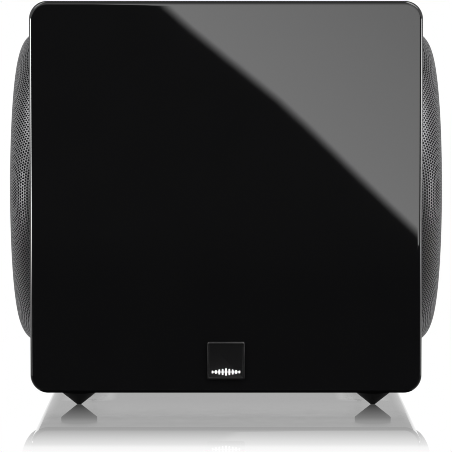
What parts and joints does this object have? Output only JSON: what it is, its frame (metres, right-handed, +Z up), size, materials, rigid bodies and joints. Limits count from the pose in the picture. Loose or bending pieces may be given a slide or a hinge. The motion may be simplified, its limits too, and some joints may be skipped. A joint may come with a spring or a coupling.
{
  "type": "subwoofer",
  "caption": "Compact sealed cube subwoofer in gloss black lacquer, with a domed metal grille over the driver in each side, conical feet and its amplifier and controls at the back.",
  "frame": {"origin": "on the floor, under the middle of the whole object's box", "axes": "+Z up, the front with the badge faces -Y, the two drivers fire along -X (left) and +X (right)"},
  "size_m": [0.312, 0.283, 0.284],
  "materials": {
    "black_lacquer": "high-gloss black lacquer over fibreboard",
    "black_board": "satin black lacquer over fibreboard",
    "bare_board": "bare fibreboard",
    "badge_black": "satin black moulded plate",
    "emblem_white": "satin white inlay",
    "foot_black": "satin black moulded rubber over a steel stud",
    "gunmetal_mesh": "finely perforated, gunmetal satin coat",
    "lining_cloth": "thin black acoustic cloth",
    "ring_black": "matte black moulding",
    "foam_seal": "closed-cell foam",
    "basket_black": "black powder coat over pressed steel",
    "butyl_rubber": "matte black rubber",
    "spider_cloth": "pleated resin-stiffened cloth",
    "cone_black": "black pressed fibre cone",
    "cap_black": "satin black cap",
    "former_metal": "thin foil tube",
    "copper_winding": "lacquered copper wire",
    "plated_steel": "zinc plated",
    "ferrite": "dark grey ground ferrite",
    "anodised_black": "black anodised, fine satin",
    "bare_aluminium": "mill finish",
    "circuit_board": "green solder mask",
    "capacitor_sleeve": "shrink sleeve",
    "black_moulding": "satin black moulding",
    "rocker_black": "semi-gloss black",
    "knob_black": "satin black, fluted",
    "nickel_contact": "bright nickel plate",
    "light_lens": "clear diffusing lens"
  },
  "bodies": {
    "cabinet": {"cabinet_shell": "black_lacquer", "rear_panel": "black_board", "window_brace": "bare_board", "badge_plate": "badge_black", "badge_emblem": "emblem_white", "foot_front_left": "foot_black", "foot_front_right": "foot_black", "foot_rear_left": "foot_black", "foot_rear_right": "foot_black", "amp_plate": "anodised_black", "amp_gasket": "foam_seal", "fin_block": "anodised_black", "heat_spreader": "bare_aluminium", "amp_board": "circuit_board", "control_board": "circuit_board", "power_transformer": "copper_winding", "capacitor_left": "capacitor_sleeve", "capacitor_right": "capacitor_sleeve", "mains_inlet": "black_moulding", "rocker_bezel": "black_moulding", "line_jack_left": "nickel_contact", "line_jack_right": "nickel_contact", "trigger_jack": "nickel_contact", "service_port": "nickel_contact", "status_light": "light_lens", "grille_left": "gunmetal_mesh", "grille_right": "gunmetal_mesh", "grille_lining_left": "lining_cloth", "grille_lining_right": "lining_cloth", "grille_ring_left": "ring_black", "grille_ring_right": "ring_black", "basket_left": "basket_black", "basket_right": "basket_black", "driver_gasket_left": "foam_seal", "driver_gasket_right": "foam_seal", "surround_left": "butyl_rubber", "surround_right": "butyl_rubber", "spider_left": "spider_cloth", "spider_right": "spider_cloth", "top_plate_left": "plated_steel", "top_plate_right": "plated_steel", "magnet_left": "ferrite", "magnet_right": "ferrite", "back_plate_left": "plated_steel", "back_plate_right": "plated_steel"},
    "level_control": {"level_knob": "knob_black"},
    "crossover_control": {"crossover_knob": "knob_black"},
    "phase_switch": {"phase_slider": "black_moulding"},
    "mode_switch": {"mode_slider": "black_moulding"},
    "power_switch": {"power_rocker": "rocker_black"},
    "sync_switch": {"sync_button": "black_moulding"},
    "diaphragm_left": {"cone_left": "cone_black", "dust_cap_left": "cap_black", "coil_former_left": "former_metal", "voice_coil_left": "copper_winding"},
    "diaphragm_right": {"cone_right": "cone_black", "dust_cap_right": "cap_black", "coil_former_right": "former_metal", "voice_coil_right": "copper_winding"}
  },
  "joints": [
    {"name": "cone_travel_left", "type": "slide", "parent": "cabinet", "child": "diaphragm_left", "axis": [-1, 0, 0], "range_m": [-0.009, 0.009], "stiffness_N_per_m": 2500, "deforming": ["surround_left", "spider_left"]},
    {"name": "cone_travel_right", "type": "slide", "parent": "cabinet", "child": "diaphragm_right", "axis": [1, 0, 0], "range_m": [-0.009, 0.009], "stiffness_N_per_m": 2500, "deforming": ["surround_right", "spider_right"]},
    {"name": "level_turn", "type": "hinge", "parent": "cabinet", "child": "level_control", "pos_m": [0.055, 0.1325, 0.212], "axis": [0, 1, 0], "range_deg": [-150, 150]},
    {"name": "crossover_turn", "type": "hinge", "parent": "cabinet", "child": "crossover_control", "pos_m": [0.008, 0.1325, 0.212], "axis": [0, 1, 0], "range_deg": [-150, 150]},
    {"name": "phase_slide", "type": "slide", "parent": "cabinet", "child": "phase_switch", "axis": [1, 0, 0], "range_m": [-0.005, 0]},
    {"name": "mode_slide", "type": "slide", "parent": "cabinet", "child": "mode_switch", "axis": [1, 0, 0], "range_m": [-0.004, 0.004]},
    {"name": "power_rock", "type": "hinge", "parent": "cabinet", "child": "power_switch", "pos_m": [-0.008, 0.1319, 0.084], "axis": [1, 0, 0], "range_deg": [-16, 0]},
    {"name": "sync_press", "type": "slide", "parent": "cabinet", "child": "sync_switch", "axis": [0, -1, 0], "range_m": [0, 0.001], "stiffness_N_per_m": 400, "springref_m": -0.001}
  ],
  "couplings": [
    {"joint": "cone_travel_right", "follows": "cone_travel_left", "ratio": 1}
  ]
}
